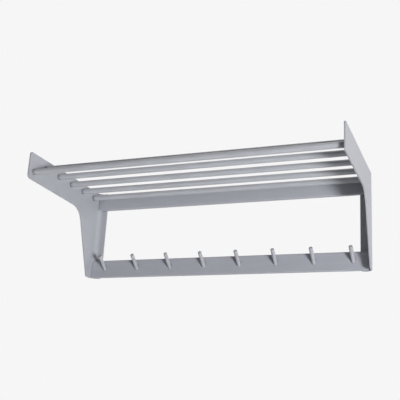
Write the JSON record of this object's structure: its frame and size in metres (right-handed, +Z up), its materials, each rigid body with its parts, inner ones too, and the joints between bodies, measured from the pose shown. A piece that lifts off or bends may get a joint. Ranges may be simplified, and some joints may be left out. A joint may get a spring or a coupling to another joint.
{
  "type": "wall hat and coat rack",
  "caption": "Wall rack of coated sheet steel and tube, with a slatted hat shelf between two bent brackets, a lower front rail and a row of inclined coat pegs.",
  "frame": {"origin": "centre of the four keyhole entries, on the wall plane", "axes": "+X along the shelf to the viewer's right, +Y into the wall, +Z up"},
  "size_m": [0.642, 0.29, 0.2032],
  "materials": {
    "coated_steel": "satin silver-grey powder coat",
    "plated_steel": "bright zinc plating"
  },
  "bodies": {
    "root": {"left_bracket": "coated_steel", "right_bracket": "coated_steel", "peg_rail": "coated_steel", "upper_rail": "coated_steel", "shelf_tube_1": "coated_steel", "shelf_tube_2": "coated_steel", "shelf_tube_3": "coated_steel", "shelf_tube_4": "coated_steel", "shelf_tube_5": "coated_steel", "front_rail_tube": "coated_steel", "peg_1": "coated_steel", "peg_2": "coated_steel", "peg_3": "coated_steel", "peg_4": "coated_steel", "peg_5": "coated_steel", "peg_6": "coated_steel", "peg_7": "coated_steel", "peg_8": "coated_steel", "left_spigots": "coated_steel", "right_spigots": "coated_steel", "rail_standoffs": "plated_steel", "rail_screws": "plated_steel"}
  },
  "joints": []
}
